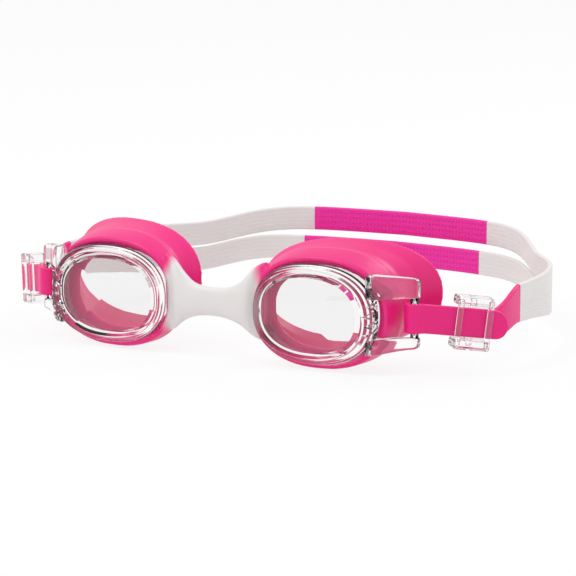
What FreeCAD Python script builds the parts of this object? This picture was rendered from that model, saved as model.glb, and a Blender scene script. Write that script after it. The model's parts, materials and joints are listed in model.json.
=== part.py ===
"""Swim goggles: two clear eyecups, pink silicone seals, white nose bridge, split two-colour strap.

Frame: +X to the right as seen from the front, +Y towards the head, +Z up. Left and right are
as seen from the front, so right is the wearer's left.
Origin: middle of the nose bridge's rear face, at the height of the window centres.
Depths are measured backwards from the plane of the two window fronts.
"""
import FreeCAD, Part
import math
import os

Vector = FreeCAD.Vector

# ---------------------------------------------------------------- driving dimensions (mm)
clearance = 0.3          # between parts that move past each other
seat_clearance = 0.1     # between an eyecup and the seal it sits in

window_gap = 40.6        # between the inner ends of the two windows
window_width = 42.0
window_height = 30.0
squareness = 2.3         # exponent of the oval outlines; 2 is an ellipse
bevel = 2.2              # width of the bevel round the window
lens_wall = 1.6
lens_depth = 11.0        # front to rear edge of the clear cup, nose side
wrap = 3.0               # extra depth of the clear cup at the temple side
cup_past = 4.0           # the cup's hollow is cut this far past its rear edge

lip_wall = 1.9           # front lip of the seal past the clear cup, at the nose and temple
lip_rise = 2.25          # front lip of the seal above and below the clear cup
shoulder_nose = 1.3      # the seal's widest line past its lip, at the nose
shoulder_temple = 1.2    # and at the temple
shoulder_rise = 1.0      # and above and below
shoulder_shift = 1.2     # its centre above the window centre
shoulder_nose_back = 0.5     # behind the clear cup's rear edge, at the nose
shoulder_temple_back = 4.0   # and at the temple
neck_tuck = 1.5          # the neck behind the widest line is lower by this, above and below
neck_shift = 2.2
neck_nose_back = 3.5
neck_temple_back = 10.0
rim_spare = 1.5          # height of the rim that meets the face, beyond the clear cup's
rim_rise = 5.5           # the rim's centre sits this far above the window centre
rim_nose_back = 9.5      # rear edge of the seal behind the clear cup, at the nose
rim_temple_back = 23.0   # and at the temple
rim_reach = 14.2         # how far the rim passes the window end at the temple
rim_nose_reach = 7.8     # how far the rim passes the window end at the nose
seal_wall = 2.2
rim_taper = 0.6          # share of the wall that is left at the rim
sill = 2.0               # silicone behind the window's edge, at the temple
sill_nose = 2.6
sill_rise = 1.5
sill_back = 3.0          # behind the clear cup
mouth_depth = 2.0        # the seal's opening is cut this far past the rim

nose_depth = 9.0         # rear face of the bridge behind the window fronts
bridge_thick = 4.6
bridge_waist = 10.0      # height of the bridge at the middle
bridge_root = 27.0       # height of the bridge where it meets a seal
bridge_run = (7.0, 13.0)     # distances from the middle that shape the bridge's front
bridge_fall = (0.6, 1.1)     # how far the front comes forward there
bridge_front = 4.2       # depth of the front where it meets the seal
bridge_back_run = (7.0, 12.0)    # the same for the back
bridge_back_fall = (0.2, 3.0)    # how far the back falls away there
bridge_back = 17.0       # depth of the back where it meets the seal
waist_run = (5.0, 11.0)  # distances from the middle that shape the top and the bottom
waist_flare = 2.2        # height gained at the second of them
fuse_gap = 0.05          # between the bridge and the seal it is moulded with

bar_out = 13.2           # strap bar beyond the window end
bar_depth = 15.7
bar_radius = 1.5
slot_room = 1.6          # between the strap's edges and the two ear arms
ear_upper = 7.2          # height of the upper arm
ear_lower = 4.4
ear_cheek = 0.6          # material round the bar's end
ear_behind = 1.6         # the arm's edge behind the bar
ear_ahead = 2.4          # the arm's edge ahead of the bar
ear_sink = 3.0           # how far an arm runs into the cup's wall
ear_rise = 2.5           # where the front edge leaves the cup
ear_heel = 0.8
bar_sink = 1.0           # how far the bar runs into each arm

strap_thick = 1.8
strap_height = 10.4      # at the strap bar
strap_heading = 41.0     # degrees outwards from straight sideways
strap_slope = 7.0        # degrees that the folded strap end runs downwards from the bar
tail_length = 33.0       # from the bar to the free end
layer_gap = 0.4          # between the folded strap's two layers
fold_length = 9.0        # over which the two layers close up behind the bar
fold_lead = 1.0
fold_ease = 0.05
inner_run = (12.0, 15.0, 18.0, 21.0)     # places along the inner layer, from the bar
inner_past = 2.8         # end of its straight run past the buckle's centre
left_play = 0.8          # extra room round the left bar, where the closed loop is opened

buckle_at = 20.6         # buckle centre, along the strap from the bar
buckle_length = 13.0
buckle_block = 3.4       # height of the blocks above and below the strap
buckle_room = 0.7        # between the strap's edges and the blocks
buckle_bar = 2.2         # width of one cross bar
buckle_thick = 1.8       # thickness of a cross bar

joint_past = 19.7        # side joint of the pink and the white strap, outwards from the bar
joint_behind = 42.3      # and behind it
joint_height = 14.0
joint_lead = ((0.6, 21.5), (-0.7, 12.0))     # the strap's bow ahead of the joint: inwards, forwards
split_in = 19.7          # where the strap splits into two bands, inwards from the side joint
split_behind = 61.0      # and behind it
yoke_bow = ((0.6, 18.0), (4.4, 37.0), (11.0, 50.0))  # on the way: inwards and behind the joint
split_drop = 2.5
band_height = 9.5
band_gap = 0.8           # between the two bands at the split
colour_out = 39.0        # colour joint of the bands, from the middle
upper_back = 158.0       # depth of the upper band at the middle
lower_back = 149.5
upper_bow = 6.3          # how far each band curves forward up to the colour joint
lower_bow = 5.5
band_swell = 4.5         # outward bow between the split and the colour joint
band_swell_in = 16.5     # where that bow is, inwards from the split
grip_turn = 19.0         # where the pink stretch starts to flatten, inwards from the colour joint
upper_rise = 7.3         # height of the upper band's centre line at the back
lower_rise = -3.4

steps = 28               # points round an oval

# ---------------------------------------------------------------- derived places
window_nose = window_gap / 2
window_end = window_nose + window_width
cup_nose = window_nose - bevel
cup_temple = window_end + 2 * bevel
cup_height = window_height + 2.5 * bevel
cup_back = lens_depth + wrap             # rear edge of the clear cup at the temple
lip_height = cup_height + 2 * lip_rise
shoulder_height = lip_height + 2 * shoulder_rise
rim_height = cup_height + rim_spare
bar_x = window_end + bar_out
ear_gap = strap_height + 2 * slot_room
ear_top = ear_gap / 2 + ear_upper
ear_bottom = ear_gap / 2 + ear_lower
joint_out = bar_x + joint_past
joint_depth = bar_depth + joint_behind
split_out = joint_out - split_in
split_depth = joint_depth + split_behind
strap_angle = math.radians(strap_heading)
along = Vector(math.cos(strap_angle), math.sin(strap_angle), 0)
outward = Vector(math.sin(strap_angle), -math.cos(strap_angle), 0)
layer_offset = (strap_thick + layer_gap) / 2
band_offset = (band_height + band_gap) / 2
tall = 60.0              # taller than the whole part, for cutting profiles


def at(x, depth, z=0.0):
    """Point from its sideways place, its depth behind the window fronts and its height."""
    return Vector(x, depth - nose_depth, z)


def oval(nose, temple, height, drop=0.0, grow=0.0):
    """Closed oval through a nose-side and a temple-side point, each given as (x, depth)."""
    span = at(*temple) - at(*nose)
    middle = (at(*temple) + at(*nose)) * 0.5
    half = span.Length / 2 + grow
    rise = height / 2 + grow
    span.normalize()
    points = []
    for step in range(steps):
        turn = 2 * math.pi * step / steps
        c = math.cos(turn)
        s = math.sin(turn)
        u = half * math.copysign(abs(c) ** (2 / squareness), c)
        w = rise * math.copysign(abs(s) ** (2 / squareness), s)
        points.append(middle + span * u + Vector(0, 0, w - drop))
    curve = Part.BSplineCurve()
    curve.interpolate(Points=points, PeriodicFlag=True)
    return Part.Wire(curve.toShape())


def loft(sections, grow=0.0, ruled=False):
    """Solid through a list of (nose, temple, height, drop) sections; ruled keeps a crease at each."""
    wires = [oval(nose, temple, height, drop, grow) for nose, temple, height, drop in sections]
    return Part.makeLoft(wires, True, ruled)


def prism(outline, low, high):
    """Upright solid from a plan outline of vectors."""
    flat = [Vector(p.x, p.y, low) for p in outline]
    face = Part.Face(Part.makePolygon(flat + [flat[0]]))
    return face.extrude(Vector(0, 0, high - low))


def post(centre, radius, low, high):
    """Upright cylinder."""
    return Part.makeCylinder(radius, high - low, Vector(centre.x, centre.y, low))


def smooth(points):
    """Open spline edge through points."""
    curve = Part.BSplineCurve()
    curve.interpolate(Points=points)
    return curve.toShape()


def ribbon(points, thick):
    """Upright sheet of even thickness whose plan follows a smooth line through points."""
    path = Part.BSplineCurve()
    path.interpolate(Points=points)
    count = 6 * len(points)
    sides = ([], [])
    for step in range(count + 1):
        place = path.FirstParameter + (path.LastParameter - path.FirstParameter) * step / count
        point = path.value(place)
        tangent = path.tangent(place)[0]
        normal = Vector(tangent.y, -tangent.x, 0)
        sides[0].append(point + normal * (thick / 2))
        sides[1].append(point - normal * (thick / 2))
    left = smooth(sides[0])
    right = smooth(sides[1])
    start = Part.makeLine(sides[1][0], sides[0][0])
    end = Part.makeLine(sides[0][-1], sides[1][-1])
    wire = Part.Wire([left, end, right, start])
    face = Part.Face(wire)
    face.translate(Vector(0, 0, -tall / 2))
    return face.extrude(Vector(0, 0, tall))


def side_profile(top, bottom):
    """Solid across the whole width with a top and a bottom line, each a list of (depth, z)."""
    corners = [at(-2 * tall, depth, z) for depth, z in top + bottom[::-1]]
    face = Part.Face(Part.makePolygon(corners + [corners[0]]))
    return face.extrude(Vector(4 * tall, 0, 0))


def mirrored(shape):
    """The same solid for the other side of the face."""
    return shape.mirror(Vector(0, 0, 0), Vector(1, 0, 0))


def save(name, shape):
    """Write one sub-part as a STEP file named after its node."""
    shape.exportStep("parts/" + name + ".step")


# ---------------------------------------------------------------- clear eyecup
def lens_sections(inset):
    """Oval sections of the clear cup, front to rear, drawn in by an inset."""
    near = lens_depth * 0.45
    return [
        ((window_nose + inset, inset), (window_end - inset, inset), window_height - 2 * inset, 0),
        ((window_nose - bevel / 2 + inset, bevel * 0.7 + inset / 2),
         (window_end + bevel - inset, bevel * 0.8 + inset / 2), window_height + 1.5 * bevel - 2 * inset, 0),
        ((cup_nose + inset, near), (cup_temple - inset, near + wrap / 2), cup_height - 2 * inset, 0),
        ((cup_nose + inset, lens_depth), (cup_temple - inset, cup_back), cup_height - 2 * inset, 0),
    ]


def ear(grow):
    """The two arms that carry the strap bar; grow leaves room round them in the seal."""
    root = window_end + bevel
    tip = bar_x + bar_radius + ear_cheek + grow
    arm_plan = [
        at(root - ear_sink - grow, lens_depth * 0.35 - grow),
        at(root + ear_rise, lens_depth * 0.25 - grow),
        at(tip, bar_depth - ear_ahead - grow),
        at(tip, bar_depth + ear_behind + grow),
        at(bar_x - bar_radius - ear_heel - grow, bar_depth + ear_behind + grow),
        at(root - ear_sink - grow, lens_depth * 0.75 + grow),
    ]
    upper = prism(arm_plan, ear_gap / 2 - grow, ear_top + grow)
    lower = prism(arm_plan, -ear_bottom - grow, -ear_gap / 2 + grow)
    return upper.fuse(lower)


def eyecup():
    outer = loft(lens_sections(0))
    hollow = loft(lens_sections(lens_wall))
    rear = lens_sections(lens_wall)[-1]
    deeper = ((rear[0][0], rear[0][1] + cup_past), (rear[1][0], rear[1][1] + cup_past), rear[2], rear[3])
    mouth = loft([rear, deeper])
    bar = post(at(bar_x, bar_depth), bar_radius, -ear_gap / 2 - bar_sink, ear_gap / 2 + bar_sink)
    body = outer.fuse([ear(0), bar])
    return body.cut([hollow, mouth]).removeSplitter()


# ---------------------------------------------------------------- silicone seal
def seal_sections(inset):
    """Oval sections of the seal: front lip, shoulder, groove and rim, drawn in by an inset."""
    nose = cup_nose - lip_wall + inset
    temple = cup_temple + lip_wall - inset
    wide_nose = nose - shoulder_nose
    wide_temple = temple + shoulder_temple
    wide = shoulder_height - 2 * inset
    edge = inset * rim_taper
    return [
        ((nose, lens_depth / 2), (temple, lens_depth / 2 + 0.9 * wrap), lip_height - 2 * inset, 0),
        ((wide_nose, lens_depth + shoulder_nose_back), (wide_temple, cup_back + shoulder_temple_back),
         wide, -shoulder_shift),
        ((wide_nose, lens_depth + neck_nose_back), (wide_temple, cup_back + neck_temple_back),
         wide - 2 * neck_tuck, -neck_shift),
        ((window_nose - rim_nose_reach + edge, lens_depth + rim_nose_back),
         (window_end + rim_reach - edge, cup_back + rim_temple_back), rim_height - 2 * edge, -rim_rise),
    ]


def seal():
    outer = loft(seal_sections(0), 0, True)
    inner = seal_sections(seal_wall)
    nose, temple, height, drop = inner[-1]
    start = window_nose + sill_nose
    stop = window_end - sill
    clear = window_height - 2 * sill_rise
    behind = lens_depth + sill_back
    opening = [
        ((start, lens_depth - 0.5), (stop, cup_back - 1.5), clear, 0),
        ((start - 2.5, behind), (stop + 3.0, behind + wrap), clear + 6.0, -0.8),
        inner[2],
        inner[3],
        ((nose[0] - 0.6, nose[1] + mouth_depth), (temple[0] + 0.6, temple[1] + mouth_depth), height + 1.0,
         drop),
    ]
    front = loft([((start, 0), (stop, 0), clear, 0), ((start, behind), (stop, behind), clear, 0)])
    seat = loft(lens_sections(0), seat_clearance)
    return outer.cut(loft(opening, 0, True)).cut([front, seat, ear(seat_clearance)])


# ---------------------------------------------------------------- nose bridge
bridge_middle = nose_depth - bridge_thick / 2
bridge_end = cup_nose - lip_wall


def bridge_half():
    """Right half of the bridge: from the flex line at the middle to the seal."""
    near = nose_depth - bridge_thick
    front = [at(0, near)]
    front += [at(run, near - fall) for run, fall in zip(bridge_run, bridge_fall)]
    front.append(at(cup_nose, bridge_front))
    back = [at(0, nose_depth)]
    back += [at(run, nose_depth + fall) for run, fall in zip(bridge_back_run, bridge_back_fall)]
    back.append(at(cup_nose, bridge_back))
    lead = Part.makeLine(front[-1], back[-1])
    tail = Part.makeLine(back[0], front[0])
    face = Part.Face(Part.Wire([smooth(front), lead, smooth(back[::-1]), tail]))
    face.translate(Vector(0, 0, -bridge_root / 2))
    slab = face.extrude(Vector(0, 0, bridge_root))
    half = bridge_waist / 2
    top = [Vector(-1, 0, half), Vector(waist_run[0], 0, half), Vector(waist_run[1], 0, half + waist_flare),
           Vector(bridge_end + 3, 0, bridge_root / 2)]
    bottom = [Vector(p.x, 0, -p.z) for p in top]
    rise = Part.makeLine(top[-1], bottom[-1])
    fall = Part.makeLine(bottom[0], top[0])
    profile = Part.Face(Part.Wire([smooth(top), rise, smooth(bottom[::-1]), fall]))
    profile.translate(Vector(0, -tall, 0))
    waist = profile.extrude(Vector(0, 2 * tall, 0))
    body = slab.common(waist)
    return body.cut([loft(seal_sections(0), fuse_gap, True), loft(lens_sections(0), fuse_gap)])


def nose_bridge(carries_pivot):
    """The half with the pivot ends in a round of the bridge's thickness, the other in its hollow."""
    radius = bridge_thick / 2
    pivot = at(0, bridge_middle)
    if carries_pivot:
        return bridge_half().fuse(post(pivot, radius, -bridge_waist / 2, bridge_waist / 2))
    return bridge_half().cut(post(pivot, radius + clearance, -tall, tall))


# ---------------------------------------------------------------- strap
def strap_point(s, h):
    """Plan point in the strap end's own directions, from the bar."""
    return at(bar_x, bar_depth) + along * s + outward * h


def loop_radius(play):
    return bar_radius + play + strap_thick / 2


def end_path(play):
    """Plan of the strap end: tail, round the bar and back to the side joint."""
    radius = loop_radius(play)
    points = [strap_point(tail_length - step * 6, layer_offset) for step in range(4)]
    points.append(strap_point(fold_length - fold_lead, layer_offset + fold_ease))
    points.append(strap_point(fold_length / 2, (layer_offset + radius) / 2))
    for step in range(9):
        turn = math.pi * (0.5 + step / 8)
        points.append(strap_point(radius * math.cos(turn), radius * math.sin(turn)))
    points.append(strap_point(fold_length / 2, -(layer_offset + radius) / 2))
    points.append(strap_point(fold_length - fold_lead, -layer_offset - fold_ease))
    points += [strap_point(s, -layer_offset) for s in inner_run + (buckle_at + inner_past,)]
    points += [at(joint_out - inwards, joint_depth - forwards) for inwards, forwards in joint_lead]
    points.append(at(joint_out, joint_depth))
    return points


def arm_profile():
    """Side outline of the strap end, widening from the bar to the side joint."""
    half = strap_height / 2
    end = joint_height / 2
    tail_depth = bar_depth + tail_length * along.y
    fall = tail_length * math.tan(math.radians(strap_slope))
    top = [(bar_depth - 8, half), (bar_depth, half), (tail_depth, half - fall), (joint_depth + 4, end)]
    bottom = [(bar_depth - 8, -half), (bar_depth, -half), (tail_depth, -half - fall), (joint_depth + 4, -end)]
    return side_profile(top, bottom)


def strap_end(play):
    body = ribbon(end_path(play), strap_thick).common(arm_profile())
    return body.fuse(post(at(joint_out, joint_depth), strap_thick / 2, -joint_height / 2, joint_height / 2))


def yoke_points():
    """Plan of the white side piece, from the side joint to the split."""
    points = [at(joint_out, joint_depth)]
    for inwards, back in yoke_bow:
        points.append(at(joint_out - inwards, joint_depth + back))
    return points + [at(split_out, split_depth)]


def band_points(back, reach):
    """Plan of half a band, from just ahead of the split to the middle of the back."""
    points = yoke_points()[-2:]
    points.append(at(split_out - band_swell_in, (split_depth + reach) / 2 + band_swell))
    points += [at(colour_out, reach), at(colour_out - grip_turn, (reach + 2 * back) / 3), at(0, back)]
    return points


def split_round(z, radius):
    """Round across the strap at the split, on the line about which a band tips."""
    centre = at(0, split_depth, z)
    return Part.makeCylinder(radius, 4 * tall, centre - Vector(2 * tall, 0, 0), Vector(1, 0, 0))


upper_split = band_offset - split_drop
lower_split = -band_offset - split_drop


def strap_yoke():
    """White side piece: from the side joint to the split, hollowed for both band ends."""
    half = band_offset + band_height / 2
    top = [(joint_depth - 6, joint_height / 2), (joint_depth + 20, joint_height / 2),
           (split_depth + 1, half - split_drop)]
    bottom = [(joint_depth - 6, -joint_height / 2), (joint_depth + 20, -joint_height / 2),
              (split_depth + 1, -half - split_drop)]
    body = ribbon(yoke_points(), strap_thick).common(side_profile(top, bottom))
    back_half = Part.makeBox(4 * tall, tall, 2 * tall, at(-2 * tall, split_depth, -tall))
    cuts = [back_half, post(at(joint_out, joint_depth), strap_thick / 2 + clearance, -tall, tall)]
    cuts += [split_round(z, band_height / 2 + clearance) for z in (upper_split, lower_split)]
    return body.cut(cuts)


def band(back, reach, split_z, back_z):
    """One band across the back of the head, as its whole right half."""
    half = band_height / 2
    near = 16
    top = [(split_depth - 12, split_z + half), (split_depth + 4, split_z + half), (reach - 2, back_z + half),
           (back + near, back_z + half)]
    bottom = [(depth, z - band_height) for depth, z in top]
    body = ribbon(band_points(back, reach), strap_thick).common(side_profile(top, bottom))
    behind = Part.makeBox(4 * tall, 2 * tall, 2 * tall, at(-2 * tall, split_depth, -tall))
    return body.common(behind.fuse(split_round(split_z, half)))


def slice_band(half_band, inner, outer):
    """The stretch of a band between two distances from the middle."""
    box = Part.makeBox(outer - inner, 4 * tall, 2 * tall, Vector(inner, -tall, -tall))
    return half_band.common(box)


# ---------------------------------------------------------------- buckle
def buckle():
    """Clear slide with two cross bars over the tail, one behind the strap and a block at each end."""
    inner = strap_height / 2 + buckle_room
    outer = inner + buckle_block
    front = layer_offset + strap_thick / 2 + clearance
    reach = front + buckle_thick

    def block(s0, s1, h0, h1, z0, z1):
        plan = [strap_point(s0, h0), strap_point(s1, h0), strap_point(s1, h1), strap_point(s0, h1)]
        return prism(plan, z0, z1)

    first = buckle_at - buckle_length / 2
    last = buckle_at + buckle_length / 2
    middle = buckle_at - buckle_bar / 2
    pieces = [block(first, last, -reach, reach, inner, outer)]
    pieces.append(block(first, last, -reach, reach, -outer, -inner))
    pieces.append(block(first, first + buckle_bar, front, reach, -outer, outer))
    pieces.append(block(last - buckle_bar, last, front, reach, -outer, outer))
    pieces.append(block(middle, middle + buckle_bar, -reach, -front, -outer, outer))
    body = pieces[0]
    for piece in pieces[1:]:
        body = body.fuse(piece)
    body = body.removeSplitter()
    body.rotate(at(bar_x, bar_depth), outward, -strap_slope)
    return body


# ---------------------------------------------------------------- the assembly
def make():
    os.makedirs("parts", exist_ok=True)
    right_lens = eyecup()
    right_seal = seal()
    save("lens_right", right_lens)
    save("lens_left", mirrored(right_lens))
    save("seal_right", right_seal)
    save("seal_left", mirrored(right_seal))
    save("nose_bridge_right", nose_bridge(True))
    save("nose_bridge_left", mirrored(nose_bridge(False)))
    save("strap_end_right", strap_end(clearance))
    save("strap_end_left", mirrored(strap_end(left_play)))
    yoke = strap_yoke()
    save("strap_yoke_right", yoke)
    save("strap_yoke_left", mirrored(yoke))
    bands = {
        "upper": band(upper_back, upper_back - upper_bow, upper_split, upper_rise),
        "lower": band(lower_back, lower_back - lower_bow, lower_split, lower_rise),
    }
    for name, half_band in bands.items():
        white = slice_band(half_band, colour_out, 2 * tall)
        pink = slice_band(half_band, 0, colour_out)
        save(name + "_band_white_right", white)
        save(name + "_band_white_left", mirrored(white))
        save(name + "_band_grip", pink.fuse(mirrored(pink)).removeSplitter())
    slide = buckle()
    save("buckle_right", slide)
    save("buckle_left", mirrored(slide))


make()
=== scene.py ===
import json
import math

import bmesh
import bpy
import numpy as np
from mathutils import Matrix, Vector
from mathutils.bvhtree import BVHTree


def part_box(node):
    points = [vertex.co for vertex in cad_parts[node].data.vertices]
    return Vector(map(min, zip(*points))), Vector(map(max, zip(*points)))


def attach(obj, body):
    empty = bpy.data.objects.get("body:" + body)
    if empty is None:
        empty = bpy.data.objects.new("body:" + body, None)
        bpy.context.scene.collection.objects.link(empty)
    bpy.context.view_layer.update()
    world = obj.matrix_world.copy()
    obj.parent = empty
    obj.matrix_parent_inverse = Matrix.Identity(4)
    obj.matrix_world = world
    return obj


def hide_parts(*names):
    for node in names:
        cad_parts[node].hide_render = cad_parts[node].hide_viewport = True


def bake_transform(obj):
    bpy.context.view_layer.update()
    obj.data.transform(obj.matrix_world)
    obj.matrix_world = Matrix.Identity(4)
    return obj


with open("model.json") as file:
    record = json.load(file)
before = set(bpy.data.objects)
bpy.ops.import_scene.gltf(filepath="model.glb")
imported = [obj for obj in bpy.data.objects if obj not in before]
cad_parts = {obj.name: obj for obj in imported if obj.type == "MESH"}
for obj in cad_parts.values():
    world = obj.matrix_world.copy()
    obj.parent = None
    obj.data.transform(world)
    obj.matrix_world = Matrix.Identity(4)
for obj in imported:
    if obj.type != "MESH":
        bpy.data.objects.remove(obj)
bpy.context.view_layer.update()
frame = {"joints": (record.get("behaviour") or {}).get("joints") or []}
joints = {joint["name"]: joint for joint in frame["joints"]}

MM = 0.001
SIDES = {"right": 1, "left": -1}

# ---------------------------------------------------------------- places read from the frame (mm)
lens_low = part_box("lens_right")[0] / MM
seal_low, seal_high = [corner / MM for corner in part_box("seal_right")]
bar = Vector(joints["right_strap_swivel"]["pos_m"]) / MM
side_joint = Vector(joints["right_strap_flex"]["pos_m"]) / MM
upper_hinge = Vector(joints["upper_band_lift"]["pos_m"]) / MM
lower_hinge = Vector(joints["lower_band_drop"]["pos_m"]) / MM
lensward = Vector(joints["right_buckle_slide"]["axis"])
front = lens_low.y                       # plane of the window fronts
colour_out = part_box("upper_band_grip")[1].x / MM
upper_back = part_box("upper_band_grip")[1].y / MM
lower_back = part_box("lower_band_grip")[1].y / MM
upper_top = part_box("upper_band_grip")[1].z / MM
lower_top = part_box("lower_band_grip")[1].z / MM
floor_z = seal_low.z - 0.6

WINDOW_GAP = 40.6
WINDOW_WIDTH = 42.0
WINDOW_HEIGHT = 30.0
SQUARENESS = 2.3
STRAP_THICK = 1.8
BAND_HEIGHT = 9.5
STRAP_HEIGHT = 10.4
LAYER_OFFSET = 1.1
JOINT_HEIGHT = 14.0
TAIL_LENGTH = 33.0
BUCKLE_AT = 20.6
BAR_RADIUS = 1.5
BAR_LENGTH = 14.6

window_nose = WINDOW_GAP / 2
window_end = window_nose + WINDOW_WIDTH
ear_slope = math.asin(lensward.z)
along = Vector((-lensward.x, -lensward.y, 0)).normalized()
outward = Vector((along.y, -along.x, 0))


def at(x, depth, z=0.0):
    """Point in millimetres from its sideways place, depth behind the window fronts and height."""
    return Vector((x, front + depth, z))


# ---------------------------------------------------------------- mesh helpers
def spline(points, count):
    """Points on a smooth line through the given ones, evenly spread in chord length."""
    knots = np.array([tuple(p) for p in points], float)
    gaps = np.linalg.norm(np.diff(knots, axis=0), axis=1)
    t = np.concatenate([[0], np.cumsum(gaps)])
    n = len(t)
    matrix = np.zeros((n, n))
    right = np.zeros((n, knots.shape[1]))
    matrix[0, 0] = matrix[-1, -1] = 1
    for i in range(1, n - 1):
        before = t[i] - t[i - 1]
        after = t[i + 1] - t[i]
        matrix[i, i - 1:i + 2] = before, 2 * (before + after), after
        right[i] = 6 * ((knots[i + 1] - knots[i]) / after - (knots[i] - knots[i - 1]) / before)
    curve = np.linalg.solve(matrix, right)
    out = []
    for place in np.linspace(0, t[-1], count):
        i = min(np.searchsorted(t, place, side="right") - 1, n - 2)
        h = t[i + 1] - t[i]
        a = (t[i + 1] - place) / h
        b = 1 - a
        bend = ((a ** 3 - a) * curve[i] + (b ** 3 - b) * curve[i + 1]) * h * h / 6
        out.append(a * knots[i] + b * knots[i + 1] + bend)
    return np.array(out)


def follow(value, places, levels):
    """Smooth value between named places, flat outside them."""
    i = np.clip(np.searchsorted(places, value) - 1, 0, len(places) - 2)
    share = min(max((value - places[i]) / (places[i + 1] - places[i]), 0), 1)
    share = share * share * (3 - 2 * share)
    return levels[i] + (levels[i + 1] - levels[i]) * share


def ring(nose, temple, height, rise=0.0, count=120):
    """Oval of points through (x, depth) at the nose and at the temple."""
    start = at(*nose)
    span = at(*temple) - start
    middle = start + span * 0.5
    points = []
    for step in range(count):
        turn = 2 * math.pi * step / count
        c = math.cos(turn)
        s = math.sin(turn)
        u = math.copysign(abs(c) ** (2 / SQUARENESS), c)
        w = math.copysign(abs(s) ** (2 / SQUARENESS), s)
        points.append(middle + span * (u / 2) + Vector((0, 0, w * height / 2 + rise)))
    return points


def grid_mesh(rings, around=True, through=False, caps=False):
    """Mesh through rings of points, in metres; through joins the last ring to the first."""
    mesh = bmesh.new()
    rows = [[mesh.verts.new(Vector(p) * MM) for p in points] for points in rings]
    count = len(rows[0])
    last = len(rows) if through else len(rows) - 1
    for i in range(last):
        lower = rows[i]
        upper = rows[(i + 1) % len(rows)]
        for j in range(count if around else count - 1):
            k = (j + 1) % count
            mesh.faces.new((lower[j], lower[k], upper[k], upper[j]))
    if caps:
        mesh.faces.new(rows[0][::-1])
        mesh.faces.new(rows[-1])
    bmesh.ops.recalc_face_normals(mesh, faces=mesh.faces)
    return mesh


def piece(name, mesh, material, smooth=True):
    """Object from a bmesh, shaded smooth, with one material."""
    data = bpy.data.meshes.new(name)
    mesh.to_mesh(data)
    mesh.free()
    obj = bpy.data.objects.new(name, data)
    bpy.context.scene.collection.objects.link(obj)
    data.materials.append(material)
    data.polygons.foreach_set("use_smooth", [smooth] * len(data.polygons))
    return obj


def apply_modifiers(obj):
    """Bake the modifiers into the mesh."""
    bpy.context.view_layer.update()
    evaluated = obj.evaluated_get(bpy.context.evaluated_depsgraph_get())
    data = bpy.data.meshes.new_from_object(evaluated)
    obj.modifiers.clear()
    obj.data = data
    return obj


def mirror_mesh(mesh):
    """Copy of a bmesh for the other side of the face."""
    other = mesh.copy()
    bmesh.ops.scale(other, vec=(-1, 1, 1), verts=other.verts)
    bmesh.ops.reverse_faces(other, faces=other.faces)
    return other


def sided(mesh, side):
    """The mesh itself on the right, its mirror image on the left."""
    return mesh if side == "right" else mirror_mesh(mesh)


# ---------------------------------------------------------------- materials
def new_material(name):
    material = bpy.data.materials.new(name)
    material.use_nodes = True
    nodes = material.node_tree.nodes
    return material, nodes, material.node_tree.links, nodes["Principled BSDF"]


def noise(nodes, links, scale, detail=3.0):
    """Noise on object coordinates, in metres."""
    where = nodes.new("ShaderNodeTexCoord")
    texture = nodes.new("ShaderNodeTexNoise")
    texture.inputs["Scale"].default_value = scale
    texture.inputs["Detail"].default_value = detail
    links.new(where.outputs["Object"], texture.inputs["Vector"])
    return texture


def add_bump(nodes, links, shader, texture, strength, distance):
    bump = nodes.new("ShaderNodeBump")
    bump.inputs["Strength"].default_value = strength
    bump.inputs["Distance"].default_value = distance
    links.new(texture.outputs[0], bump.inputs["Height"])
    links.new(bump.outputs["Normal"], shader.inputs["Normal"])


def blend_colours(nodes, links, factor, first, second):
    mix = nodes.new("ShaderNodeMix")
    mix.data_type = "RGBA"
    mix.inputs["A"].default_value = (*first, 1)
    mix.inputs["B"].default_value = (*second, 1)
    links.new(factor, mix.inputs["Factor"])
    return mix.outputs["Result"]


PINK = (0.84, 0.012, 0.235)
PINK_DEEP = (0.80, 0.006, 0.175)
WHITE = (0.79, 0.765, 0.755)
WHITE_DULL = (0.71, 0.685, 0.675)


def silicone(name, first, second, roughness):
    """Moulded silicone: slow tone drift, a fine matt skin and a little light let in."""
    material, nodes, links, shader = new_material(name)
    drift = noise(nodes, links, 45)
    links.new(blend_colours(nodes, links, drift.outputs[0], first, second), shader.inputs["Base Color"])
    grain = noise(nodes, links, 2600, 2)
    add_bump(nodes, links, shader, grain, 0.05, 0.0002)
    haze = nodes.new("ShaderNodeMapRange")
    haze.inputs["To Min"].default_value = roughness - 0.05
    haze.inputs["To Max"].default_value = roughness + 0.07
    links.new(noise(nodes, links, 160).outputs[0], haze.inputs["Value"])
    links.new(haze.outputs[0], shader.inputs["Roughness"])
    shader.inputs["Subsurface Weight"].default_value = 0.08
    shader.inputs["Subsurface Scale"].default_value = 0.002
    shader.inputs["Subsurface Radius"].default_value = (1.0, 0.5, 0.5)
    shader.inputs["Specular IOR Level"].default_value = 0.35
    return material


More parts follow.
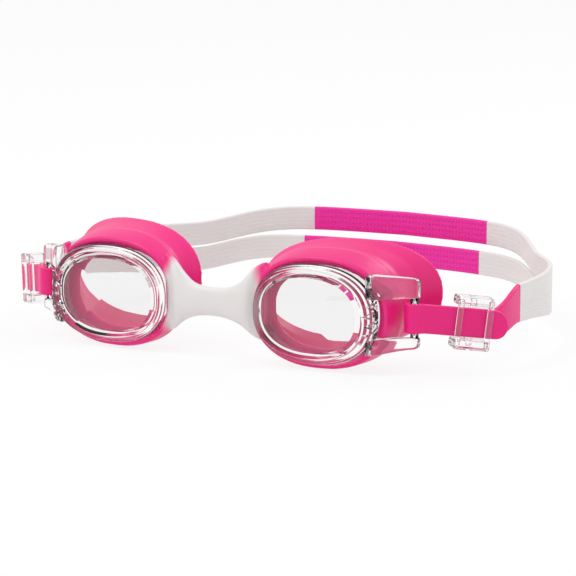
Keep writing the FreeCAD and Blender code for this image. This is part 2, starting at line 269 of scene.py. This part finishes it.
def frame_silicone():
    """The eyecup moulding: white bridge that runs softly into pink cups."""
    material, nodes, links, shader = new_material("frame_silicone")
    tint = nodes.new("ShaderNodeAttribute")
    tint.attribute_name = "pink"
    drift = noise(nodes, links, 45)
    pinks = blend_colours(nodes, links, drift.outputs[0], PINK, PINK_DEEP)
    whites = blend_colours(nodes, links, drift.outputs[0], WHITE, WHITE_DULL)
    mix = nodes.new("ShaderNodeMix")
    mix.data_type = "RGBA"
    links.new(tint.outputs["Fac"], mix.inputs["Factor"])
    links.new(whites, mix.inputs["A"])
    links.new(pinks, mix.inputs["B"])
    links.new(mix.outputs["Result"], shader.inputs["Base Color"])
    grain = noise(nodes, links, 2600, 2)
    add_bump(nodes, links, shader, grain, 0.04, 0.0002)
    haze = nodes.new("ShaderNodeMapRange")
    haze.inputs["To Min"].default_value = 0.30
    haze.inputs["To Max"].default_value = 0.42
    links.new(noise(nodes, links, 160).outputs[0], haze.inputs["Value"])
    links.new(haze.outputs[0], shader.inputs["Roughness"])
    shader.inputs["Subsurface Weight"].default_value = 0.08
    shader.inputs["Subsurface Scale"].default_value = 0.002
    shader.inputs["Subsurface Radius"].default_value = (1.0, 0.5, 0.5)
    return material


def clear_plastic(name, tint):
    """Polished clear polycarbonate with faint moulding swirl."""
    material, nodes, links, shader = new_material(name)
    shader.inputs["Base Color"].default_value = (*tint, 1)
    shader.inputs["Transmission Weight"].default_value = 1.0
    shader.inputs["IOR"].default_value = 1.5
    haze = nodes.new("ShaderNodeMapRange")
    haze.inputs["To Min"].default_value = 0.0
    haze.inputs["To Max"].default_value = 0.03
    links.new(noise(nodes, links, 90).outputs[0], haze.inputs["Value"])
    links.new(haze.outputs[0], shader.inputs["Roughness"])
    add_bump(nodes, links, shader, noise(nodes, links, 130, 1), 0.02, 0.001)
    return material


pink_silicone = silicone("pink_silicone", PINK, PINK_DEEP, 0.36)
grip_silicone = silicone("grip_silicone", (0.84, 0.03, 0.38), (0.80, 0.02, 0.33), 0.42)
white_silicone = silicone("white_silicone", WHITE, WHITE_DULL, 0.40)
two_tone = frame_silicone()
clear_lens = clear_plastic("clear_lens", (0.985, 0.985, 0.985))
clear_window = clear_plastic("clear_window", (0.89, 0.885, 0.885))
clear_buckle = clear_plastic("clear_buckle", (0.98, 0.975, 0.975))


# ---------------------------------------------------------------- silicone seals and bridge
def seal_rings():
    """Stations of the seal's skin, from the front lip over the shoulder and rim and back inside."""
    nose = window_nose - 2.2
    temple = window_end + 4.4
    rim_nose = seal_low.x
    rim_temple = seal_high.x
    rim_depth = 37.0
    stations = [
        (nose - 0.1, 5.4, temple + 0.1, 8.1, 35.7, 0.0, "lip"),
        (nose - 0.8, 5.0, temple + 0.9, 7.8, 37.6, 0.0, "lip"),
        (nose - 1.7, 5.5, temple + 1.7, 8.4, 39.6, 0.1, "lip"),
        (nose - 2.4, 8.0, temple + 2.4, 12.5, 40.8, 0.6, "lip"),
        (nose - 3.0, 10.4, temple + 3.0, 16.4, 41.7, 1.0, "lip"),
        (nose - 3.2, 11.6, temple + 3.1, 18.0, 42.0, 1.2, "lip"),
        (nose - 2.9, 12.3, temple + 2.9, 18.9, 41.3, 1.3, "skirt"),
        (nose - 2.1, 12.8, temple + 2.3, 19.9, 39.8, 1.5, "skirt"),
        (nose - 2.2, 14.2, temple + 2.4, 23.2, 38.6, 2.2, "skirt"),
        (nose - 3.2, 17.0, temple + 5.2, 30.0, 37.6, 3.8, "skirt"),
        (rim_nose + 0.2, 20.0, rim_temple - 0.3, rim_depth - 0.6, 36.8, 5.5, "skirt"),
        (rim_nose + 0.4, 20.8, rim_temple - 0.4, rim_depth, 36.0, 5.5, "skirt"),
        (rim_nose + 1.6, 20.0, rim_temple - 1.8, rim_depth - 0.9, 34.2, 5.4, "skirt"),
        (nose - 0.6, 16.4, temple + 2.8, 28.6, 33.8, 3.4, "skirt"),
        (nose + 0.2, 14.0, temple - 0.1, 20.0, 34.6, 1.6, "skirt"),
        (nose + 2.6, 13.2, temple - 3.2, 17.2, 31.5, 0.6, "skirt"),
        (window_nose + 2.5, 12.9, window_end - 1.9, 15.6, 27.2, 0.1, "skirt"),
        (window_nose + 2.3, 11.6, window_end - 1.8, 14.2, 27.0, 0.0, "skirt"),
        (nose - 0.1, 11.5, temple + 0.1, 14.5, 35.7, 0.0, "skirt"),
    ]
    rings = [ring((s[0], s[1]), (s[2], s[3]), s[4], s[5]) for s in stations]
    return rings, [s[6] for s in stations]


def bridge_rings():
    """Cross-sections of the whole bridge, from one cup to the other."""
    reach = window_nose + 0.6
    heights = spline([Vector((0, 5.5, 0)), Vector((5, 5.8, 0)), Vector((10, 7.6, 0)), Vector((14, 11.2, 0)),
                      Vector((17.5, 14.8, 0)), Vector((reach, 16.2, 0))], 60)
    floors = spline([Vector((0, -4.9, 0)), Vector((5, -5.2, 0)), Vector((10, -6.6, 0)), Vector((14, -9.0, 0)),
                     Vector((17.5, -11.6, 0)), Vector((reach, -12.6, 0))], 60)
    rings = []
    for x in np.linspace(-reach, reach, 61):
        out = abs(x)
        top = float(np.interp(out, heights[:, 0], heights[:, 1]))
        low = float(np.interp(out, floors[:, 0], floors[:, 1]))
        near = follow(out, [0, 8, 14, reach], [4.6, 4.1, 3.9, 6.4])
        far = follow(out, [0, 7, 13, reach], [9.0, 9.2, 10.6, 11.2])
        points = []
        for step in range(48):
            turn = 2 * math.pi * step / 48
            c = math.cos(turn)
            s = math.sin(turn)
            u = math.copysign(abs(c) ** (2 / 2.8), c)
            w = math.copysign(abs(s) ** (2 / 2.8), s)
            depth = (near + far) / 2 + u * (far - near) / 2
            points.append(at(x, depth, (top + low) / 2 + w * (top - low) / 2))
        rings.append(points)
    return rings


def ear_arm(upper, grow=0.0):
    """One clear arm from the cup's temple side out to the strap bar."""
    stations = [
        # past the window end, front and rear depth, height of the arm's outer edge
        (0.6 - grow * 4, 2.9, 7.6, 15.6),
        (2.6, 3.4, 9.6, 15.6),
        (4.6, 4.9, 11.8, 15.2),
        (6.8, 7.2, 13.9, 14.8),
        (9.2, 10.2, 15.6, 14.4),
        (11.6, 12.6, 16.9, 14.1),
        (13.9, 13.6, 17.2, 13.8),
        (14.9, 14.0, 16.8, 13.2),
    ]
    rings = []
    for out, near, far, high in stations:
        inner = 6.9 - grow
        outer = (high if upper else high - 2.9) + grow
        half = (far - near) / 2 + grow
        sign = 1 if upper else -1
        points = []
        for step in range(40):
            turn = 2 * math.pi * step / 40
            c = math.cos(turn)
            s = math.sin(turn)
            u = math.copysign(abs(c) ** 0.45, c)
            w = math.copysign(abs(s) ** 0.45, s)
            z = sign * ((inner + outer) / 2 + w * (outer - inner) / 2)
            points.append(at(window_end + out, (near + far) / 2 + u * half, z))
        rings.append(points)
    return grid_mesh(rings, caps=True)


def build_frame():
    """Seals and bridge as one moulding, with its colour kept on the mesh."""
    rings, kinds = seal_rings()
    right = grid_mesh(rings, through=True)
    left = mirror_mesh(right)
    bridge = grid_mesh(bridge_rings(), caps=True)
    skirt = grid_mesh(rings[5:])
    skirt_other = mirror_mesh(skirt)
    tier = grid_mesh(rings[:6])
    tier_other = mirror_mesh(tier)
    whole = bmesh.new()
    for part in (right, left, bridge):
        data = bpy.data.meshes.new("part")
        part.to_mesh(data)
        whole.from_mesh(data)
    obj = piece("silicone_frame", whole, two_tone)
    remesh = obj.modifiers.new("remesh", "REMESH")
    remesh.mode = "VOXEL"
    remesh.voxel_size = 0.42 * MM
    remesh.use_smooth_shade = True
    smooth = obj.modifiers.new("smooth", "SMOOTH")
    smooth.factor = 0.5
    smooth.iterations = 10
    room = bmesh.new()
    for upper in (True, False):
        arm = ear_arm(upper, 0.15)
        for half in (arm, mirror_mesh(arm)):
            data = bpy.data.meshes.new("arm")
            half.to_mesh(data)
            room.from_mesh(data)
    cutter = piece("cutter", room, two_tone)
    cut = obj.modifiers.new("cut", "BOOLEAN")
    cut.operation = "DIFFERENCE"
    cut.solver = "MANIFOLD"
    cut.object = cutter
    apply_modifiers(obj)
    bpy.data.objects.remove(cutter)
    trees = [BVHTree.FromBMesh(m) for m in (skirt, skirt_other, tier, tier_other, bridge)]
    pink = obj.data.attributes.new("pink", "FLOAT", "POINT")
    shares = []
    for vertex in obj.data.vertices:
        near = [tree.find_nearest(vertex.co)[3] for tree in trees]
        x = abs(vertex.co.x) / MM
        climb = max(vertex.co.z / MM - 8, 0)
        fade = min(max((x + climb * 0.35 - 16.8) / 5.0, 0), 1)
        fade = fade * fade * (3 - 2 * fade)
        ahead = min(near[2:]) - min(near[0], near[1])
        behind = min(max(ahead / (0.5 * MM) + 0.5, 0), 1)
        shares.append(max(behind, fade))
    pink.data.foreach_set("value", shares)
    for m in (right, left, bridge, skirt, skirt_other, tier, tier_other):
        m.free()
    obj.data.polygons.foreach_set("use_smooth", [True] * len(obj.data.polygons))
    return obj


silicone_frame = build_frame()
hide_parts("seal_right", "seal_left", "nose_bridge_right", "nose_bridge_left")
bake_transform(silicone_frame)


# ---------------------------------------------------------------- clear eyecups
def lens_rings():
    """Stations of the clear cup: window edge, ledges, side wall, rear edge and the hollow behind."""
    wall = 1.6
    ledges = [
        # out, depth at the nose and at the temple, measured from the window edge
        (0.0, 0.0, 0.0),
        (0.35, 0.25, 0.25),
        (0.55, 1.1, 1.0),
        (1.15, 1.35, 1.3),
        (1.35, 2.2, 2.3),
        (1.75, 2.5, 2.7),
        (1.95, 3.5, 3.9),
        (2.2, 4.0, 4.6),
    ]
    rings = []
    for out, near, far in ledges:
        rings.append(ring((window_nose - out, near), (window_end + out * 2, far), WINDOW_HEIGHT + out * 2.5))
    full = WINDOW_HEIGHT + 5.5
    rings.append(ring((window_nose - 2.2, 10.9), (window_end + 4.4, 13.9), full))
    inner = [(10.9, 13.9, 0.0), (5.0, 6.0, 0.2), (2.4, 2.6, 1.9), (1.7, 1.7, 3.0)]
    for near, far, tuck in inner:
        shrink = wall + tuck
        rings.append(ring((window_nose - 2.2 + shrink, near), (window_end + 4.4 - shrink * 1.5, far),
                          full - 2 * shrink))
    return rings


def lens_shell():
    rings = lens_rings()
    mesh = grid_mesh(rings)
    mesh.verts.ensure_lookup_table()
    count = len(rings[0])
    edges = [[mesh.verts[start * count + j] for j in range(count)] for start in (0, len(rings) - 1)]
    for edge in edges:
        middle = sum((v.co for v in edge), Vector()) / count
        hub = mesh.verts.new(middle)
        for j in range(count):
            mesh.faces.new((edge[j], edge[(j + 1) % count], hub)).material_index = 1
    bmesh.ops.recalc_face_normals(mesh, faces=mesh.faces)
    for edge in mesh.edges:
        if len(edge.link_faces) == 2 and edge.calc_face_angle() > math.radians(24):
            edge.smooth = False
    return mesh


def teeth_mesh():
    """Small wedges moulded into the cup's wall ahead of the strap slot."""
    mesh = bmesh.new()
    for z, reach in ((5.2, 2.2), (1.8, 4.0), (-1.6, 2.8), (-5.0, 4.2)):
        rows = []
        for depth in (1.8, 5.2):
            points = [at(window_end + 3.4 - reach, depth, z - 0.6)]
            points += [at(window_end + 3.6, depth + 0.8, z + half) for half in (1.5, -1.5)]
            rows.append([mesh.verts.new(p * MM) for p in points])
        mesh.faces.new(rows[0])
        mesh.faces.new(rows[1][::-1])
        for j in range(3):
            k = (j + 1) % 3
            mesh.faces.new((rows[0][k], rows[0][j], rows[1][j], rows[1][k]))
    bmesh.ops.recalc_face_normals(mesh, faces=mesh.faces)
    return mesh


def build_lens(side):
    name = "lens_" + side
    shell = piece(name, sided(lens_shell(), side), clear_lens)
    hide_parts(name)
    shell.data.materials.append(clear_window)
    arms = []
    for upper in (True, False):
        label = "upper" if upper else "lower"
        arms.append(piece("lens_ear_" + label + "_" + side, sided(ear_arm(upper), side), clear_lens))
    teeth = piece("lens_teeth_" + side, sided(teeth_mesh(), side), clear_lens, smooth=False)
    post = bmesh.new()
    bmesh.ops.create_cone(post, cap_ends=True, segments=32, radius1=BAR_RADIUS * MM,
                          radius2=BAR_RADIUS * MM, depth=BAR_LENGTH * MM)
    bmesh.ops.translate(post, verts=post.verts, vec=Vector((bar.x, bar.y, 0)) * MM)
    rod = piece("lens_bar_" + side, sided(post, side), clear_lens)
    for obj in [shell, teeth, rod] + arms:
        obj.visible_shadow = False
        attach(obj, side + "_cup")


for side in SIDES:
    build_lens(side)


# ---------------------------------------------------------------- strap
def section(grooves):
    """Strap cross-section as (across, thickness) shares, round-edged, with optional lengthwise grooves."""
    outline = []
    rows = 60
    for j in range(rows + 1):
        v = -1 + 2 * j / rows
        edge = math.sqrt(max(1 - (max(abs(v) - 0.86, 0) / 0.14) ** 2, 0))
        dip = 0.0
        if grooves and abs(v) < 0.8:
            dip = 0.10 * max(0, math.cos(v * math.pi * grooves)) ** 6
        outline.append((v, edge - dip))
    back = [(v, -depth) for v, depth in outline[::-1]]
    return outline[:-1] + back[:-1]


def sweep(path, centre, half, grooves=0, thick=STRAP_THICK):
    """Ribbon along a plan path; centre and half give the height of its middle and half its height."""
    profile = section(grooves)
    rings = []
    count = len(path)
    for i, point in enumerate(path):
        ahead = path[min(i + 1, count - 1)] - path[max(i - 1, 0)]
        normal = Vector((ahead[1], -ahead[0], 0)).normalized()
        middle = centre(i, point)
        tall = half(i, point)
        rings.append([Vector((point[0], point[1], middle + v * tall)) + normal * (depth * thick / 2)
                      for v, depth in profile])
    return grid_mesh(rings, caps=True)


def strap_point(s, h):
    return Vector((bar.x, bar.y, 0)) + along * s + outward * h


def end_path(play):
    """Plan of the pink strap end: tail, round the bar and back to the side joint."""
    radius = BAR_RADIUS + play + STRAP_THICK / 2
    points = [strap_point(TAIL_LENGTH - step * 6, LAYER_OFFSET) for step in range(4)]
    points.append(strap_point(8, LAYER_OFFSET + 0.05))
    points.append(strap_point(4.5, (LAYER_OFFSET + radius) / 2))
    for step in range(9):
        turn = math.pi * (0.5 + step / 8)
        points.append(strap_point(radius * math.cos(turn), radius * math.sin(turn)))
    points.append(strap_point(4.5, -(LAYER_OFFSET + radius) / 2))
    points.append(strap_point(8, -LAYER_OFFSET - 0.05))
    points += [strap_point(s, -LAYER_OFFSET) for s in (12, 15, 18, 21, BUCKLE_AT + 2.8)]
    points.append(Vector((side_joint.x - 0.6, side_joint.y - 21.5, 0)))
    points.append(Vector((side_joint.x + 0.7, side_joint.y - 12, 0)))
    points.append(Vector((side_joint.x, side_joint.y, 0)))
    return spline(points, 260)


def build_strap_end(side, play):
    path = end_path(play)
    steps = np.concatenate([[0], np.cumsum(np.linalg.norm(np.diff(path, axis=0), axis=1))])
    fall = math.tan(ear_slope)
    tail_depth = bar.y + TAIL_LENGTH * along.y

    def centre(i, point):
        if point[1] <= bar.y:
            return 0.0
        if point[1] < tail_depth:
            return -(point[1] - bar.y) / along.y * fall
        share = (point[1] - tail_depth) / (side_joint.y - tail_depth)
        share = share * share * (3 - 2 * share)
        return -TAIL_LENGTH * fall * (1 - share)

    def half(i, point):
        full = STRAP_HEIGHT / 2
        if steps[i] < full:
            return full * math.sqrt(max(1 - (1 - steps[i] / full) ** 2.6, 0.0004))
        share = min(max((point[1] - tail_depth) / (side_joint.y - tail_depth), 0), 1)
        return full + (JOINT_HEIGHT / 2 - full) * share

    mesh = sweep(path, centre, half)
    obj = piece("strap_end_" + side, sided(mesh, side), pink_silicone)
    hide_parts("strap_end_" + side)
    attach(obj, side + "_arm")


build_strap_end("right", 0.3)
build_strap_end("left", 0.8)


def strip_path(back):
    """Plan of one band's half, from the side joint past the split to the middle of the back."""
    far = upper_back if back == "upper" else lower_back
    reach = far - (6.3 if back == "upper" else 5.5)
    middle = far - STRAP_THICK / 2
    split_y = upper_hinge.y
    points = [Vector((side_joint.x, side_joint.y, 0)), at(94.6, 76), at(90.8, 95), at(84.2, 108),
              Vector((75.5, split_y, 0)), Vector((59, (split_y + reach) / 2 + 4.5, 0)),
              Vector((colour_out, reach, 0)), Vector((20, (reach + 2 * middle) / 3, 0)),
              Vector((0, middle, 0))]
    return spline(points, 420)


def strip_levels(back, point):
    """Centre line and half height of a band at a plan point."""
    split = upper_hinge if back == "upper" else lower_hinge
    top = upper_top if back == "upper" else lower_top
    sign = 1 if back == "upper" else -1
    end = top - BAND_HEIGHT / 2
    start = sign * JOINT_HEIGHT / 4
    y = point[1]
    if y < split.y:
        share = (y - side_joint.y) / (split.y - side_joint.y)
        share = share * share * (3 - 2 * share)
        centre = start + (split.z - start) * share
        half = JOINT_HEIGHT / 4 + (BAND_HEIGHT / 2 - JOINT_HEIGHT / 4) * share
        bury = 0.6 * (1 - follow(y, [split.y - 9, split.y - 1], [0, 1]))
        return centre - sign * bury, half + bury
    centre = follow(y, [split.y, colour_level(back)], [split.z, end])
    return centre, BAND_HEIGHT / 2


def colour_level(back):
    return (upper_back if back == "upper" else lower_back) - 7.0


def build_band(back):
    path = strip_path(back)
    white_part = [p for p in path if p[0] >= colour_out]
    pink_part = [p for p in path if p[0] < colour_out]
    white_part.append(pink_part[0])
    body = back + "_band"
    thick = STRAP_THICK - (0.1 if back == "lower" else 0)
    for side in SIDES:
        mesh = sweep(white_part, lambda i, p: strip_levels(back, p)[0], lambda i, p: strip_levels(back, p)[1],
                     6, thick)
        obj = piece(body + "_white_" + side, sided(mesh, side), white_silicone)
        replaced = [body + "_white_" + side]
        if back == "upper":
            replaced.append("strap_yoke_" + side)
        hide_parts(*replaced)
        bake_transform(obj)
    other = [np.array((-p[0], p[1], p[2])) for p in pink_part[::-1]]
    whole = list(pink_part) + other[1:]
    mesh = sweep(whole, lambda i, p: strip_levels(back, p)[0], lambda i, p: strip_levels(back, p)[1])
    add_dots(mesh, whole, back)
    obj = piece(body + "_grip", mesh, grip_silicone)
    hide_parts(body + "_grip")
    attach(obj, body)


def add_dots(mesh, path, back):
    """Small raised dots in rows along the inner face of a band."""
    rows = 4
    pitch = 1.55
    track = np.array(path)
    steps = np.concatenate([[0], np.cumsum(np.linalg.norm(np.diff(track, axis=0), axis=1))])
    for place in np.arange(pitch, steps[-1] - pitch / 2, pitch):
        point = np.array([np.interp(place, steps, track[:, k]) for k in range(3)])
        ahead = np.array([np.interp(place + 0.5, steps, track[:, k]) for k in range(3)]) - point
        normal = Vector((ahead[1], -ahead[0], 0)).normalized()
        if normal.y > 0:
            normal = -normal
        centre, half = strip_levels(back, point)
        for row in range(rows):
            z = centre + (row - (rows - 1) / 2) * (half * 2 / (rows + 0.6))
            spot = Vector((point[0], point[1], z)) + normal * (STRAP_THICK / 2)
            made = bmesh.ops.create_icosphere(mesh, subdivisions=1, radius=0.46 * MM)
            bmesh.ops.translate(mesh, verts=made["verts"], vec=spot * MM)


for back in ("upper", "lower"):
    build_band(back)


# ---------------------------------------------------------------- buckles
def build_buckle(side):
    """Ladder-lock slide: a block above and below the strap, two bars over it and one behind."""
    mesh = bmesh.new()
    inner = STRAP_HEIGHT / 2 + 0.7
    outer = inner + 3.4
    near = LAYER_OFFSET + STRAP_THICK / 2 + 0.3
    reach = near + 1.8
    first = BUCKLE_AT - 6.5
    last = BUCKLE_AT + 6.5

    def block(s0, s1, h0, h1, z0, z1):
        made = bmesh.ops.create_cube(mesh, size=1.0)["verts"]
        for vertex in made:
            s = s0 if vertex.co.x < 0 else s1
            h = h0 if vertex.co.y < 0 else h1
            z = z0 if vertex.co.z < 0 else z1
            spot = strap_point(s, h)
            vertex.co = Vector((spot.x, spot.y, z)) * MM

    for low, high in ((inner, outer), (-outer, -inner)):
        block(first, last, -reach, reach, low, high)
    block(first, first + 2.2, near, reach, -outer + 0.8, outer - 0.8)
    block(last - 2.2, last, near, reach, -outer + 0.8, outer - 0.8)
    block(BUCKLE_AT - 1.1, BUCKLE_AT + 1.1, -reach, -near, -outer + 0.8, outer - 0.8)
    tilt = Matrix.Rotation(ear_slope, 4, -outward)
    centre = Vector((bar.x, bar.y, 0)) * MM
    turn = Matrix.Translation(centre) @ tilt @ Matrix.Translation(-centre)
    bmesh.ops.transform(mesh, verts=mesh.verts, matrix=turn)
    bmesh.ops.recalc_face_normals(mesh, faces=mesh.faces)
    obj = piece("buckle_" + side, sided(mesh, side), clear_buckle, smooth=False)
    bevel = obj.modifiers.new("bevel", "BEVEL")
    bevel.width = 0.8 * MM
    bevel.segments = 4
    apply_modifiers(obj)
    obj.visible_shadow = False
    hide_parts("buckle_" + side)
    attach(obj, side + "_buckle")


for side in SIDES:
    build_buckle(side)


# ---------------------------------------------------------------- stage, light and camera
def build_stage():
    mesh = bmesh.new()
    bmesh.ops.create_grid(mesh, x_segments=1, y_segments=1, size=6)
    bmesh.ops.translate(mesh, verts=mesh.verts, vec=(0, 3, floor_z * MM))
    material, nodes, links, shader = new_material("floor_white")
    shader.inputs["Base Color"].default_value = (0.85, 0.85, 0.85, 1)
    shader.inputs["Roughness"].default_value = 0.9
    path = nodes.new("ShaderNodeLightPath")
    first = nodes.new("ShaderNodeMath")
    first.operation = "MAXIMUM"
    links.new(path.outputs["Is Camera Ray"], first.inputs[0])
    links.new(path.outputs["Is Transmission Ray"], first.inputs[1])
    second = nodes.new("ShaderNodeMath")
    second.operation = "MAXIMUM"
    links.new(first.outputs[0], second.inputs[0])
    links.new(path.outputs["Is Glossy Ray"], second.inputs[1])
    share = nodes.new("ShaderNodeMath")
    share.operation = "MULTIPLY"
    links.new(second.outputs[0], share.inputs[0])
    share.inputs[1].default_value = 0.86
    white = nodes.new("ShaderNodeEmission")
    white.inputs["Strength"].default_value = 1.0
    mix = nodes.new("ShaderNodeMixShader")
    links.new(share.outputs[0], mix.inputs[0])
    links.new(shader.outputs[0], mix.inputs[1])
    links.new(white.outputs[0], mix.inputs[2])
    links.new(mix.outputs[0], nodes["Material Output"].inputs["Surface"])
    floor = piece("floor", mesh, material)


def area_light(name, place, target, size, power):
    light = bpy.data.lights.new(name, "AREA")
    light.energy = power
    light.shape = "SQUARE"
    light.size = size
    obj = bpy.data.objects.new(name, light)
    obj.location = place
    obj.rotation_euler = (Vector(target) - Vector(place)).to_track_quat("-Z", "Y").to_euler()
    bpy.context.scene.collection.objects.link(obj)


def build_light():
    world = bpy.data.worlds.new("studio")
    world.use_nodes = True
    world.node_tree.nodes["Background"].inputs["Color"].default_value = (1, 1, 1, 1)
    world.node_tree.nodes["Background"].inputs["Strength"].default_value = 0.88
    bpy.context.scene.world = world
    area_light("key", (-0.4, -0.4, 1.0), (0, 0.03, 0), 0.5, 3.6)
    area_light("back", (0.3, 0.9, 0.8), (0, 0.05, 0), 0.5, 2.4)
    dark_card("card_over", (0.0, -0.35, 0.75), 0.7, 0.10)
    dark_card("card_left", (-0.8, -0.35, 0.25), 0.12, 0.6)
    dark_card("card_right", (0.9, 0.1, 0.3), 0.16, 0.6)
    dark_card("card_low", (0.0, -0.8, 0.02), 0.9, 0.05)


def dark_card(name, place, wide, high):
    """Dark board that only reflections and refractions see."""
    mesh = bmesh.new()
    bmesh.ops.create_grid(mesh, x_segments=1, y_segments=1, size=0.5)
    bmesh.ops.scale(mesh, vec=(wide, high, 1), verts=mesh.verts)
    material, nodes, links, shader = new_material(name)
    shader.inputs["Base Color"].default_value = (0.02, 0.02, 0.02, 1)
    card = piece(name, mesh, material)
    card.location = place
    card.rotation_euler = (-Vector(place)).to_track_quat("-Z", "Y").to_euler()
    card.visible_camera = False
    card.visible_diffuse = False
    card.visible_shadow = False


def build_camera():
    turn = math.radians(29.23)
    lift = math.radians(10.36)
    back = Vector((math.sin(turn) * math.cos(lift), -math.cos(turn) * math.cos(lift), math.sin(lift)))
    target = Vector((34.16, front, 9.32)) * MM
    camera = bpy.data.cameras.new("camera")
    camera.lens = 180.0
    camera.sensor_width = 36.0
    camera.clip_start = 0.01
    obj = bpy.data.objects.new("camera", camera)
    obj.location = target + back * 1.0
    obj.rotation_euler = (-back).to_track_quat("-Z", "Y").to_euler()
    bpy.context.scene.collection.objects.link(obj)
    bpy.context.scene.camera = obj


build_stage()
build_light()
build_camera()
bpy.context.scene.view_settings.view_transform = "Standard"
bpy.context.scene.cycles.max_bounces = 16
bpy.context.scene.cycles.transmission_bounces = 14
bpy.context.scene.cycles.transparent_max_bounces = 16
